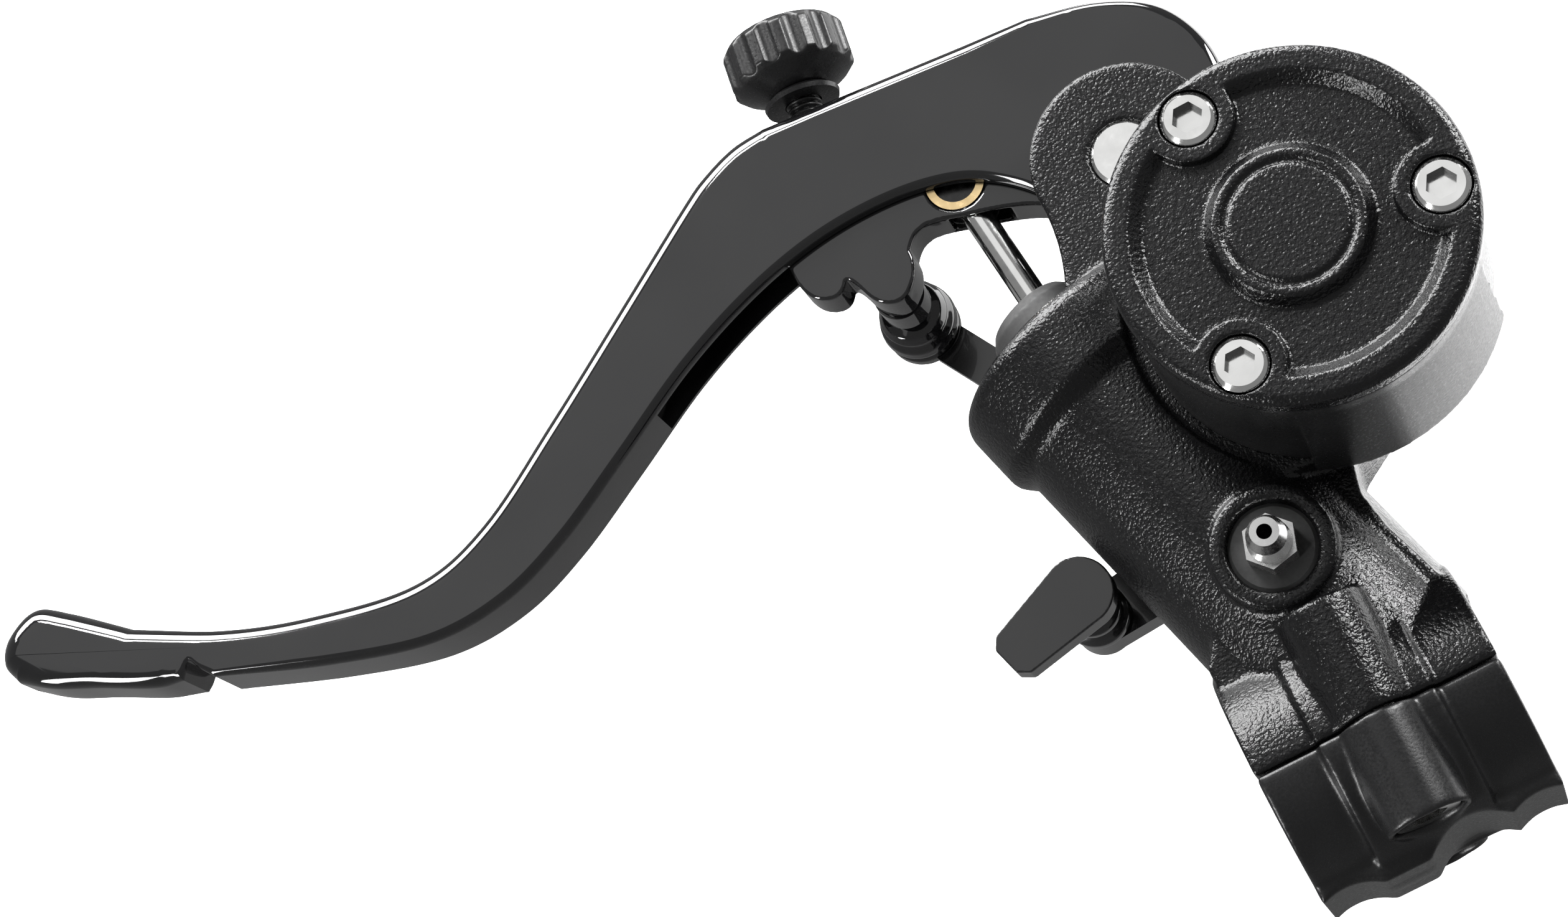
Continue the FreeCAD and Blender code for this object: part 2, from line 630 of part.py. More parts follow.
def lever_arm():
    """Inner arm that carries the trunnion and the ball stud."""
    outline = [Part.Arc(Vector(5.7, 84.0, 0), Vector(14.5, 92.8, 0), Vector(7.5, 101.4, 0)),
               curve([(7.5, 101.4), (-6, 106.5), (-20, 112.5), (-34, 114.2), (-46.5, 110.0)]),
               curve([(-46.5, 110.0), (-47.2, 103.5), (-45.2, 98.6), (-42.6, 97.6), (-40.2, 99.6)]),
               curve([(-40.2, 99.6), (-39.0, 97.6), (-37.6, 94.2), (-34.2, 92.2), (-30.9, 94.4),
                      (-29.6, 98.6)]),
               curve([(-29.6, 98.6), (-26.6, 101.0), (-21, 100.0), (-10, 96.0), (-2.6, 89.6)]),
               Part.Arc(Vector(-2.6, 89.6, 0), Vector(0.6, 85.6, 0), Vector(5.7, 84.0, 0))]
    body = padded("arm_plate", outline, -size("arm_half"), "2 * Sizes.arm_half")
    window = padded("rod_window", lines(flat([(-21.5, 103), (-14.5, 104), (-11, 88), (-26, 88)])),
                    -size("rod_radius") - 0.4, "2 * Sizes.rod_radius + 0.8")
    tools = [cylinder("arm_pivot_hole", "5.6", "10", PIVOT - UP * 5),
             cylinder("arm_trunnion_hole", "Sizes.trunnion_radius + Sizes.running_gap", "10",
                      TRUNNION - UP * 5),
             cylinder("arm_stud_hole", "2.4", "6", STUD - UP * 5), window]
    return cut("lever_arm", body, tools)


def arm_bush():
    ring = turned("arm_bush", [(size("pin_radius") + size("running_gap"), -size("arm_half")),
                               (5.6, -size("arm_half")), (5.6, size("arm_half")),
                               (size("pin_radius") + size("running_gap"), size("arm_half"))], PIVOT)
    return ring


BALL_DEPTH = size("ball_depth")


def ball_stud():
    """Stud through the arm with a ball on its lower end."""
    half = size("arm_half")
    shank = turned("stud_shank", [(0, 1.0), (2.4, 1.0), (2.4, -half), (4.0, -half), (4.0, -half - 5.0),
                                  (2.2, -half - 6.0), (2.2, -BALL_DEPTH), (0, -BALL_DEPTH)], STUD)
    ball = doc.addObject("Part::Sphere", "stud_ball")
    ball.Radius = 3.4
    ball.Placement = Placement(STUD + DOWN * BALL_DEPTH, Rotation())
    return fuse("ball_stud", [shank, ball])


def link_socket():
    """Grooved rubber-cased socket that holds the stud's ball."""
    outside = turned("socket_outside", [(0, 6.4), (3.0, 6.4), (4.7, 6.0), (5.5, 4.6), (5.0, 3.2), (6.0, 1.9),
                                        (6.2, 0.2), (5.3, -1.0), (6.0, -2.0), (6.0, -3.8), (5.0, -5.4),
                                        (3.0, -6.2), (0, -6.2)], STUD + DOWN * BALL_DEPTH)
    inside = doc.addObject("Part::Sphere", "socket_inside")
    inside.Radius = 3.45
    inside.Placement = Placement(STUD + DOWN * BALL_DEPTH, Rotation())
    mouth = cylinder("socket_mouth", "2.7", "8", STUD + DOWN * BALL_DEPTH)
    return cut("link_socket", outside, [inside, mouth])


LINK_TURN = math.radians(-60.2)
LINK_AXIS = Vector(math.cos(LINK_TURN), math.sin(LINK_TURN), 0)


def link_strap():
    """Flat strap from the socket to the switch housing."""
    sideways = LINK_AXIS.cross(UP)
    near = STUD
    far = STUD + LINK_AXIS * 39.0
    half = 3.2
    edges = [Part.LineSegment(near + sideways * half, far + sideways * half),
             Part.Arc(far + sideways * half, far + LINK_AXIS * half, far - sideways * half),
             Part.LineSegment(far - sideways * half, near - sideways * half),
             Part.Arc(near - sideways * half, near - LINK_AXIS * half, near + sideways * half)]
    strap = padded("strap_plate", edges, -21.6, "1.6")
    return cut("link_strap", strap, [cylinder("strap_root", "6.2", "6", STUD + DOWN * 24)])


def lever_blade():
    """Long bowed blade: bevelled outer edge, rounded inner edge, notch near the ball end."""
    outer = curve([(-185.0, 104.6), (-186.3, 108.4), (-184.0, 112.2), (-178.4, 114.4),
                   (-173.2, 111.2), (-164.5, 103.6), (-151.0, 96.2), (-136.8, 91.2), (-120.0, 88.0), (-106.8, 91.3), (-90.6, 101.1),
                   (-74.0, 111.9), (-58.0, 122.4)])
    brow = curve([(-58.0, 122.4), (-52.8, 125.3), (-47.0, 127.3), (-41.5, 127.7)])
    shoulder = curve([(2.0, 122.9), (13.0, 119.6), (20.6, 114.4), (24.3, 106.5), (24.2, 98.0)])
    heel = Part.Arc(Vector(24.2, 98.0, 0), Vector(14.8, 83.0, 0), Vector(-4.2, 88.0, 0))
    inner = curve([(-4.2, 88.0), (-8.0, 96.0), (-14.5, 102.4), (-22.0, 105.6), (-32.0, 106.9),
                   (-43.0, 106.2), (-55.0, 103.2), (-68.0, 97.9), (-82.4, 89.9), (-96.0, 82.6),
                   (-108.0, 78.4), (-121.0, 78.0), (-137.0, 82.6), (-154.6, 89.6)])
    edges = [outer, brow, Part.LineSegment(Vector(-41.5, 127.7, 0), Vector(2.0, 122.9, 0)), shoulder,
             heel, inner, Part.LineSegment(Vector(-154.6, 89.6, 0), Vector(-157.0, 94.0, 0)),
             Part.LineSegment(Vector(-157.0, 94.0, 0), Vector(-159.6, 91.6, 0)),
             curve([(-159.6, 91.6), (-165.0, 93.2), (-173.0, 97.4), (-180.0, 100.9), (-185.0, 104.6)])]
    body = padded("blade_plate", edges, -size("lever_half"), "2 * Sizes.lever_half")
    doc.recompute()
    for label, alias, spot in (("outer", "outer_edge_round", Vector(-114, 88, 6)),
                               ("inner", "inner_edge_round", Vector(-76.6, 93.3, 6))):
        plate = body.Tip
        pair = [edge_near(plate.Shape, spot), edge_near(plate.Shape, spot - UP * 12)]
        rounding = body.newObject("PartDesign::Fillet", "blade_%s_round" % label)
        rounding.Base = (plate, pair)
        rounding.setExpression("Radius", "Sizes." + alias)
        body.Tip = rounding
        doc.recompute()
    tools = [cylinder("blade_pivot_hole", "Sizes.pin_radius + Sizes.running_gap", "20", PIVOT - UP * 10),
             cylinder("blade_screw_hole", "Sizes.screw_radius", "30", KNOB_SEAT + KNOB_AXIS * 4,
                      KNOB_AXIS * -1)]
    slot_edges = [curve([(30, 70), (30, 104.5), (8, 107.5), (-6, 112.0), (-22, 117.2), (-34, 118.6),
                         (-50, 114.6), (-60, 107.5), (-70, 101.2), (-76.2, 96.5)]),
                  Part.LineSegment(Vector(-76.2, 96.5, 0), Vector(-72.5, 88.0, 0)),
                  Part.LineSegment(Vector(-72.5, 88.0, 0), Vector(-30, 70, 0)),
                  Part.LineSegment(Vector(-30, 70, 0), Vector(30, 70, 0))]
    tools.append(padded("blade_slot", slot_edges, -size("slot_half"), "2 * Sizes.slot_half"))
    return cut("lever_blade", body, tools)


# ---------------------------------------------------------------- adjuster

def adjuster_screw():
    """Threaded stem, drawn at its major diameter, that bears on the arm."""
    return turned("adjuster_screw", [(0, -12.4), (1.6, -12.4), (2.4, -11.4), (2.87, -11.0), (2.87, 5.4),
                                     (0, 5.4)], KNOB_SEAT, KNOB_AXIS)


def adjuster_washer():
    return turned("adjuster_washer", [(3.0, 3.0), (5.9, 3.0), (6.1, 3.7), (5.2, 4.4), (3.0, 4.4)],
                  KNOB_SEAT, KNOB_AXIS)


def adjuster_knob():
    """Fluted thumb knob with a coned underside."""
    rim = size("knob_radius")
    solid = turned("knob_solid", [(2.87, 4.6), (4.8, 4.6), (rim - 0.9, 7.2), (rim, 8.0), (rim, 13.6),
                                  (rim - 1.0, 14.8), (4.5, 15.4), (0, 15.4), (0, 5.6), (2.87, 5.6)],
                   KNOB_SEAT, KNOB_AXIS)
    count = int(size("flute_count"))
    turn = Rotation(UP, KNOB_AXIS)
    flutes = []
    for index in range(count):
        angle = 2 * math.pi * index / count
        spot = turn.multVec(Vector(math.cos(angle) * (rim + 1.0), math.sin(angle) * (rim + 1.0), 5.6))
        flutes.append(cylinder("knob_flute_%d" % index, "1.75", "12", KNOB_SEAT + spot, KNOB_AXIS))
    return cut("adjuster_knob", solid, flutes)


# ---------------------------------------------------------------- switch and paddle

def switch_screw_spots():
    return [on_barrel(40, -7), on_barrel(40, 7)]


def switch_housing():
    """Flat housing under the barrel that takes the strap's end and the paddle's post."""
    block = padded("housing_block", lines([on_barrel(s, a) for s, a in
                                           ((36.5, -11), (63.5, -11), (63.5, 11), (36.5, 11))]),
                   -25.0, "9.25")
    arm_outline = [POST + Vector(1.5, 4.4, 0), on_barrel(50, -8), on_barrel(40, -8),
                   POST + Vector(0, -4.6, 0)]
    arm = padded("housing_arm", lines(arm_outline), -28.0, "5.6")
    eye = cylinder("housing_eye", "4.7", "5.6", POST + DOWN * 28)
    foot = padded("housing_foot", lines([on_barrel(s, a) for s, a in
                                         ((38, -9), (54, -9), (54, 9), (38, 9))]), -28.0, "4")
    pocket = padded("housing_pocket", lines([on_barrel(s, a) for s, a in
                                             ((44, -9.2), (66, -9.2), (66, 9.2), (44, 9.2))]),
                    -22.4, "3.2")
    solid = fuse("housing_solid", [block, arm, eye, foot])
    tools = [pocket, cylinder("post_hole", "2.55", "12", POST + DOWN * 33)]
    for index, spot in enumerate(switch_screw_spots()):
        tools.append(cylinder("housing_hole_%d" % index, "1.4", "30", spot + DOWN * 40))
    return cut("switch_housing", solid, tools)


def switch_screws():
    screws = []
    for index, spot in enumerate(switch_screw_spots()):
        shank = cylinder("switch_shank_%d" % index, "1.25", "15.5", spot + DOWN * 28)
        head = cylinder("switch_head_%d" % index, "2.4", "1.6", spot + DOWN * 29.6)
        screws.append(fuse("switch_screw_%d" % index, [shank, head]))
    return compound("switch_screws", screws)


def paddle_post():
    """Ringed post that the paddle turns on."""
    profile = [(0, -27.6), (2.5, -27.6), (2.5, -22.1), (4.6, -22.1), (5.1, -21.3), (5.1, -19.6),
               (4.4, -18.8), (3.3, -18.2), (3.3, -16.6), (4.6, -16.0), (4.6, -14.4), (3.3, -13.8),
               (3.3, -12.2), (4.4, -11.6), (4.4, -10.2), (3.2, -9.6), (3.2, -8.2), (0, -8.2)]
    return turned("paddle_post", profile, POST)


def paddle():
    """Thumb paddle, wide round the post and narrow at its free end."""
    toe = POST + Vector(-12.6, -4.0, 0)
    way = (toe - POST).normalize()
    side = way.cross(UP)
    wide = 5.4
    slim = 3.9
    edges = [Part.Arc(POST + side * wide, POST - way * wide, POST - side * wide),
             Part.LineSegment(POST - side * wide, toe - side * slim),
             Part.LineSegment(toe - side * slim, toe + way * 1.6 - side * (slim - 1.6)),
             Part.LineSegment(toe + way * 1.6 - side * (slim - 1.6), toe + way * 1.6 + side * (slim - 1.6)),
             Part.LineSegment(toe + way * 1.6 + side * (slim - 1.6), toe + side * slim),
             Part.LineSegment(toe + side * slim, POST + side * wide)]
    return padded("paddle", edges, size("paddle_top") - 4.2, "4.2")


NODES = {
    "cylinder_body": cylinder_body(),
    "clamp_cap": clamp_cap(),
    "clamp_bolts": clamp_bolts(),
    "reservoir_body": reservoir_body(),
    "spigot_seal": spigot_seal(),
    "reservoir_screws": reservoir_screws(),
    "reservoir_diaphragm": reservoir_diaphragm(),
    "reservoir_cover": reservoir_cover(),
    "cover_screws": cover_screws(),
    "bleeder_screw": bleeder_screw(),
    "bleeder_washer": bleeder_washer(),
    "pivot_pin": pivot_pin(),
    "pivot_clip": open_ring("pivot_clip", size("pin_radius") - 0.8, size("pin_radius") + 2.2, 1.0,
                            PIVOT + DOWN * (size("ear_top") + 1.5), UP, 3.0),
    "piston": piston(),
    "primary_cup": cup_seal("primary_cup", 37),
    "secondary_cup": cup_seal("secondary_cup", 60),
    "return_spring": return_spring(),
    "piston_circlip": open_ring("piston_circlip", 6.6, 8.9, 0.9,
                                on_barrel(size("barrel_end") - 2.9), BARREL_AXIS, 2.0),
    "boot": boot(),
    "pushrod": pushrod(),
    "trunnion": trunnion(),
    "lever_arm": lever_arm(),
    "arm_bush": arm_bush(),
    "ball_stud": ball_stud(),
    "link_socket": link_socket(),
    "link_strap": link_strap(),
    "lever_blade": lever_blade(),
    "adjuster_screw": adjuster_screw(),
    "adjuster_washer": adjuster_washer(),
    "adjuster_knob": adjuster_knob(),
    "switch_housing": switch_housing(),
    "switch_screws": switch_screws(),
    "paddle_post": paddle_post(),
    "paddle": paddle(),
}

doc.recompute()
for thing in doc.Objects:
    if "Invalid" in thing.State or "Error" in thing.State:
        raise RuntimeError("%s failed to build" % thing.Name)
for node, thing in NODES.items():
    thing.Label = node
    if thing.Shape.isNull() or not thing.Shape.isValid() or not thing.Shape.Solids:
        raise RuntimeError("%s has no valid solid" % node)

os.makedirs("parts", exist_ok=True)
for node, thing in NODES.items():
    thing.Shape.exportStep("parts/%s.step" % node)
    extent = thing.Shape.BoundBox
    print("%-20s %9.1f mm3  %d solid(s)  z %.1f to %.1f" % (
        node, thing.Shape.Volume, len(thing.Shape.Solids), extent.ZMin, extent.ZMax))
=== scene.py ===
import bmesh
import bpy
import json
import math
from mathutils import Matrix, Vector


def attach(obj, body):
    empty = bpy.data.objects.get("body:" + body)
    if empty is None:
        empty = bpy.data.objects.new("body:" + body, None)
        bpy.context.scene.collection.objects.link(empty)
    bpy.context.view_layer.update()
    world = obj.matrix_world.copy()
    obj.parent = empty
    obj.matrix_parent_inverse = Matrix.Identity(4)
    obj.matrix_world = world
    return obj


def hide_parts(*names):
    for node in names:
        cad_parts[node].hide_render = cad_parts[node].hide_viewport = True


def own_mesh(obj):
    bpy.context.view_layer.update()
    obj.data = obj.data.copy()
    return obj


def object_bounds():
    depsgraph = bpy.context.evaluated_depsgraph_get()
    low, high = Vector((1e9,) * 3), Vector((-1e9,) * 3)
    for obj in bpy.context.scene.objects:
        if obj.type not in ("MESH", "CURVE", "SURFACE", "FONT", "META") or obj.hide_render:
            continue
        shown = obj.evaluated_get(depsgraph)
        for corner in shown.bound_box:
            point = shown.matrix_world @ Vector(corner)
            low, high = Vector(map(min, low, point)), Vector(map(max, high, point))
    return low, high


# A bar-clamped radial master cylinder with its hand lever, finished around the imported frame.
# Lengths are in metres; MM turns the millimetres used for small details into metres.

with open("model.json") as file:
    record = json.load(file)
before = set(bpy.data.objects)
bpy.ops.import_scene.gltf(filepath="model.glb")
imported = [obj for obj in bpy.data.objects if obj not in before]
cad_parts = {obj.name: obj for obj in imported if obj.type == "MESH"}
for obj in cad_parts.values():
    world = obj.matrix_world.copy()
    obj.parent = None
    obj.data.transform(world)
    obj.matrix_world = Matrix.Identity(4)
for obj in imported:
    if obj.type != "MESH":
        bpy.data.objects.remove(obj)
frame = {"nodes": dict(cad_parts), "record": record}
CAD_BOX = [list(corner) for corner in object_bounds()]
NODES = frame["nodes"]
MM = 0.001


# ---------------------------------------------------------------- material helpers

def new_material(name):
    material = bpy.data.materials.new(name)
    material.use_nodes = True
    tree = material.node_tree
    return material, tree, tree.nodes["Principled BSDF"]


def noise(tree, scale, detail=3.0, roughness=0.5):
    """Noise in object space, so its grain has a real size."""
    place = tree.nodes.new("ShaderNodeTexCoord")
    texture = tree.nodes.new("ShaderNodeTexNoise")
    texture.inputs["Scale"].default_value = scale
    texture.inputs["Detail"].default_value = detail
    texture.inputs["Roughness"].default_value = roughness
    tree.links.new(place.outputs["Object"], texture.inputs["Vector"])
    return texture.outputs["Fac"]


def ramp(tree, value, stops):
    node = tree.nodes.new("ShaderNodeValToRGB")
    elements = node.color_ramp.elements
    while len(elements) < len(stops):
        elements.new(0.5)
    for element, (position, colour) in zip(elements, stops):
        element.position = position
        element.color = (*colour, 1.0)
    tree.links.new(value, node.inputs["Fac"])
    return node.outputs["Color"]


def spread(tree, value, low, high, from_low=0.3, from_high=0.7):
    node = tree.nodes.new("ShaderNodeMapRange")
    node.inputs["From Min"].default_value = from_low
    node.inputs["From Max"].default_value = from_high
    node.inputs["To Min"].default_value = low
    node.inputs["To Max"].default_value = high
    tree.links.new(value, node.inputs["Value"])
    return node.outputs["Result"]


def bump(tree, shader, layers):
    """Chain of bumps: (height, depth in metres, strength)."""
    normal = None
    for height, depth, strength in layers:
        node = tree.nodes.new("ShaderNodeBump")
        node.inputs["Distance"].default_value = depth
        node.inputs["Strength"].default_value = strength
        tree.links.new(height, node.inputs["Height"])
        if normal is not None:
            tree.links.new(normal, node.inputs["Normal"])
        normal = node.outputs["Normal"]
    tree.links.new(normal, shader.inputs["Normal"])


def cast_black():
    """Black powder coat with a grain of about half a millimetre that glints."""
    material, tree, shader = new_material("cast_black")
    grain = noise(tree, 2000, 1.0, 0.5)
    fine = noise(tree, 5200, 1.0)
    cloud = noise(tree, 55, 3.0)
    colour = ramp(tree, cloud, [(0.3, (0.002, 0.002, 0.0022)), (0.7, (0.004, 0.004, 0.0043))])
    tree.links.new(colour, shader.inputs["Base Color"])
    tree.links.new(spread(tree, grain, 0.16, 0.3), shader.inputs["Roughness"])
    shader.inputs["Specular IOR Level"].default_value = 0.36
    bump(tree, shader, [(grain, 0.00014, 1.0), (fine, 0.00003, 0.7)])
    return material


def satin_black():
    """Finer, smoother coat."""
    material, tree, shader = new_material("satin_black")
    grain = noise(tree, 2600, 2.0)
    cloud = noise(tree, 70, 2.0)
    colour = ramp(tree, cloud, [(0.3, (0.004, 0.004, 0.0043)), (0.7, (0.008, 0.008, 0.0083))])
    tree.links.new(colour, shader.inputs["Base Color"])
    tree.links.new(spread(tree, grain, 0.26, 0.38), shader.inputs["Roughness"])
    shader.inputs["Specular IOR Level"].default_value = 0.4
    bump(tree, shader, [(grain, 0.00004, 0.5)])
    return material


def gloss_black(name="gloss_black", roughness=0.05):
    """Deep lacquer with a trace of orange peel and dust."""
    material, tree, shader = new_material(name)
    peel = noise(tree, 420, 1.0)
    wide = noise(tree, 60, 2.0)
    colour = ramp(tree, wide, [(0.3, (0.003, 0.003, 0.0033)), (0.7, (0.005, 0.005, 0.0052))])
    tree.links.new(colour, shader.inputs["Base Color"])
    tree.links.new(spread(tree, wide, roughness, roughness + 0.04), shader.inputs["Roughness"])
    shader.inputs["Coat Weight"].default_value = 0.6
    shader.inputs["Coat Roughness"].default_value = 0.03
    bump(tree, shader, [(peel, 0.00001, 0.12)])
    return material


def metal(name, dark, light, low, high, grain_scale=900, coarse=0.15):
    """Machined or plated metal with faint marks."""
    material, tree, shader = new_material(name)
    marks = noise(tree, grain_scale, 4.0, 0.6)
    wide = noise(tree, 140, 2.0)
    tree.links.new(ramp(tree, wide, [(0.3, dark), (0.7, light)]), shader.inputs["Base Color"])
    tree.links.new(spread(tree, marks, low, high), shader.inputs["Roughness"])
    shader.inputs["Metallic"].default_value = 1.0
    bump(tree, shader, [(marks, 0.00001, coarse)])
    return material


def rubber():
    material, tree, shader = new_material("rubber")
    grain = noise(tree, 1500, 3.0)
    dust = noise(tree, 220, 4.0)
    colour = ramp(tree, dust, [(0.35, (0.012, 0.012, 0.012)), (0.75, (0.024, 0.024, 0.024))])
    tree.links.new(colour, shader.inputs["Base Color"])
    tree.links.new(spread(tree, grain, 0.55, 0.72), shader.inputs["Roughness"])
    bump(tree, shader, [(grain, 0.00004, 0.35)])
    return material


def floor_white():
    material, tree, shader = new_material("floor_white")
    cloud = noise(tree, 3, 2.0)
    colour = ramp(tree, cloud, [(0.3, (0.9, 0.9, 0.9)), (0.7, (0.93, 0.93, 0.93))])
    tree.links.new(colour, shader.inputs["Base Color"])
    shader.inputs["Roughness"].default_value = 0.9
    shader.inputs["Specular IOR Level"].default_value = 0.1
    shader.inputs["Emission Color"].default_value = (1.0, 1.0, 1.0, 1.0)
    shader.inputs["Emission Strength"].default_value = 0.75
    return material


MATERIALS = {
    "cast_black": cast_black(),
    "satin_black": satin_black(),
    "gloss_black": gloss_black(),
    "black_plastic": gloss_black("black_plastic", 0.16),
    "bright_steel": metal("bright_steel", (0.74, 0.74, 0.73), (0.9, 0.9, 0.89), 0.08, 0.2),
    "plain_steel": metal("plain_steel", (0.5, 0.5, 0.5), (0.68, 0.68, 0.67), 0.18, 0.34, 1400, 0.3),
    "brass": metal("brass", (0.66, 0.48, 0.24), (0.82, 0.64, 0.36), 0.16, 0.3),
    "aluminium": metal("aluminium", (0.6, 0.6, 0.62), (0.74, 0.74, 0.76), 0.25, 0.4, 1600, 0.25),
    "rubber": rubber(),
    # Dark steel used only as painted shade on recess faces.
    "painted_recess_shade": metal("painted_recess_shade", (0.05, 0.05, 0.05), (0.09, 0.09, 0.09), 0.2, 0.35),
}
SLOT_OF = {entry["node"]: entry["material_slot"] for entry in frame["record"]["subparts"]}


# ---------------------------------------------------------------- mesh helpers

def paint(piece, slot):
    piece.data.materials.clear()
    piece.data.materials.append(MATERIALS[slot])


def shade(piece, degrees=35):
    piece.data.shade_smooth()
    piece.data.set_sharp_from_angle(angle=math.radians(degrees))


def soften(piece, voxel, rounds, factor=0.5):
    """Rounds every edge and fills every corner the way a casting does."""
    remesh = piece.modifiers.new("cast_form", "REMESH")
    remesh.mode = "VOXEL"
    remesh.voxel_size = voxel
    remesh.use_smooth_shade = True
    smooth = piece.modifiers.new("cast_blend", "SMOOTH")
    smooth.factor = factor
    smooth.iterations = rounds


def break_edges(piece, width, segments=2, degrees=30):
    bevel = piece.modifiers.new("broken_edges", "BEVEL")
    bevel.width = width
    bevel.segments = segments
    bevel.limit_method = "ANGLE"
    bevel.angle_limit = math.radians(degrees)
    bevel.harden_normals = False


def add_piece(name, mesh, slot, body, replaced=()):
    piece = bpy.data.objects.new(name, mesh)
    bpy.context.scene.collection.objects.link(piece)
    paint(piece, slot)
    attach(piece, body)
    if replaced:
        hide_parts(*replaced)
    return piece


# Voxel size in millimetres and rounds of smoothing for each moulded, cast or machined form.
SOFTENED = {
    "cylinder_body": (0.42, 14),
    "clamp_cap": (0.38, 14),
    "reservoir_cover": (0.26, 6),
    "reservoir_body": (0.36, 4),
    "lever_arm": (0.28, 5),
    "boot": (0.25, 5),
    "adjuster_knob": (0.2, 4),
    "paddle": (0.16, 8),
    "paddle_post": (0.2, 5),
    "link_socket": (0.2, 6),
}
SHARP_METAL = ("cover_screws", "clamp_bolts", "bleeder_screw", "pivot_pin", "ball_stud")
BROKEN_EDGE = 0.14

# Where the recesses lie, in millimetres; their faces get painted shade.
COVER_SOCKET = (43.05, 44.8)
UPRIGHT = 0.3
TRUNNION_RIM = 3.4
BLEEDER = (-1.8, 27.9)
NIPPLE_TOP = 26.8
NIPPLE_BORE = 1.5


def paint_recess_shade(piece, chosen):
    """Paints shade on the faces that pass the test, with a dark steel that stands in for the shade
    inside a key hole or recess.
    """
    piece.data.materials.append(MATERIALS["painted_recess_shade"])
    for face in piece.data.polygons:
        middle = piece.matrix_world @ face.center / MM
        if chosen(middle, face.normal):
            face.material_index = 1


# Picks the walls of the cover screws' hex sockets for painted shade.
def in_cover_socket(middle, facing):
    return COVER_SOCKET[0] < middle.z < COVER_SOCKET[1] and abs(facing.z) < UPRIGHT


# Picks every trunnion face below its rim, chiefly the floor of its recess, for painted shade, so only a
# thin brass ring stays bright.
def below_trunnion_rim(middle, facing):
    return middle.z < TRUNNION_RIM


# Picks the faces inside the bleeder nipple's bore for painted shade.
def in_nipple_bore(middle, facing):
    off_axis = math.hypot(middle.x - BLEEDER[0], middle.y - BLEEDER[1])
    return middle.z < NIPPLE_TOP and off_axis < NIPPLE_BORE


def finish_nodes():
    """Material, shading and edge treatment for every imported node."""
    for name, node in NODES.items():
        paint(node, SLOT_OF[name])
        shade(node)
    for name, (voxel, rounds) in SOFTENED.items():
        soften(NODES[name], voxel * MM, rounds)
    # Painted shade in the cover screws' sockets, the trunnion's recess and the bleeder's bore.
    paint_recess_shade(NODES["cover_screws"], in_cover_socket)
    paint_recess_shade(NODES["trunnion"], below_trunnion_rim)
    paint_recess_shade(NODES["bleeder_screw"], in_nipple_bore)
    for name in SHARP_METAL:
        break_edges(NODES[name], BROKEN_EDGE * MM)


# ---------------------------------------------------------------- stage

CAMERA_PLACE = Vector((0.00043, -0.09953, 0.49254))
CAMERA_RIGHT = Vector((0.8793, -0.4019, -0.2557))
CAMERA_UP = Vector((0.4619, 0.8503, 0.2520))
LENS = 80


# Name, place, target, width, height and power of each light.
LIGHTS = (
    ("back_softbox", (-0.15, 0.85, 0.3), (-0.05, 0.05, 0.0), 1.1, 0.4, 26),
    ("top_card", (-0.19, 0.58, 1.1), (-0.06, 0.11, 0.0), 0.9, 0.9, 1.6),
    ("glint_light", (-0.15, 0.95, 0.85), (-0.02, 0.05, 0.0), 0.3, 0.12, 7),
    ("side_strip", (-0.75, -0.25, 0.35), (-0.02, 0.05, 0.0), 0.14, 0.6, 6),
    ("right_strip", (0.6, 0.35, 0.4), (0.02, 0.05, 0.02), 0.16, 0.5, 8),
)
WORLD_STRENGTH = 0.25
FLOOR_DROP = 0.03


def camera():
    data = bpy.data.cameras.new("camera")
    data.lens = LENS
    data.sensor_width = 36
    data.clip_start = 0.01
    right = CAMERA_RIGHT.normalized()
    back = right.cross(CAMERA_UP).normalized()
    up = back.cross(right)
    item = bpy.data.objects.new("camera", data)
    facing = Matrix((right, up, back)).transposed().to_4x4()
    item.matrix_world = Matrix.Translation(CAMERA_PLACE) @ facing
    bpy.context.scene.collection.objects.link(item)
    bpy.context.scene.camera = item


def area_light(name, place, target, width, height, power):
    data = bpy.data.lights.new(name, "AREA")
    data.shape = "RECTANGLE"
    data.size = width
    data.size_y = height
    data.energy = power
    item = bpy.data.objects.new(name, data)
    item.location = place
    item.rotation_euler = (Vector(target) - Vector(place)).to_track_quat("-Z", "Y").to_euler()
    bpy.context.scene.collection.objects.link(item)


def level_card(name, near, far, height, material):
    corners = [(near[0], near[1], height), (far[0], near[1], height),
               (far[0], far[1], height), (near[0], far[1], height)]
    mesh = bpy.data.meshes.new(name)
    mesh.from_pydata(corners, [], [(0, 1, 2, 3)])
    card = bpy.data.objects.new(name, mesh)
    bpy.context.scene.collection.objects.link(card)
    card.data.materials.append(material)
    return card


def studio():
    world = bpy.data.worlds.new("studio")
    world.use_nodes = True
    background = world.node_tree.nodes["Background"]
    background.inputs["Color"].default_value = (1.0, 1.0, 1.0, 1.0)
    background.inputs["Strength"].default_value = WORLD_STRENGTH
    bpy.context.scene.world = world
    for name, place, target, width, height, power in LIGHTS:
        area_light(name, place, target, width, height, power)
    low = CAD_BOX[0][2] - FLOOR_DROP
    white = floor_white()
    floor = level_card("floor", (-3, -3), (3, 3), low, white)
    floor.visible_glossy = False
    # Seen only in reflections: it brightens the reservoir's side wall.
    bounce = level_card("bounce_card", (0.03, -0.02), (0.5, 0.35), low + 0.001, white)
    bounce.visible_camera = False
    bounce.visible_diffuse = False
    bounce.visible_shadow = False
    bpy.context.scene.view_settings.view_transform = "Standard"


# ---------------------------------------------------------------- lever blade

BLADE_HALF = 6.0
SLOT_HALF = 3.9
PIVOT = (5.7, 92.8)
PIN_RADIUS = 4.05


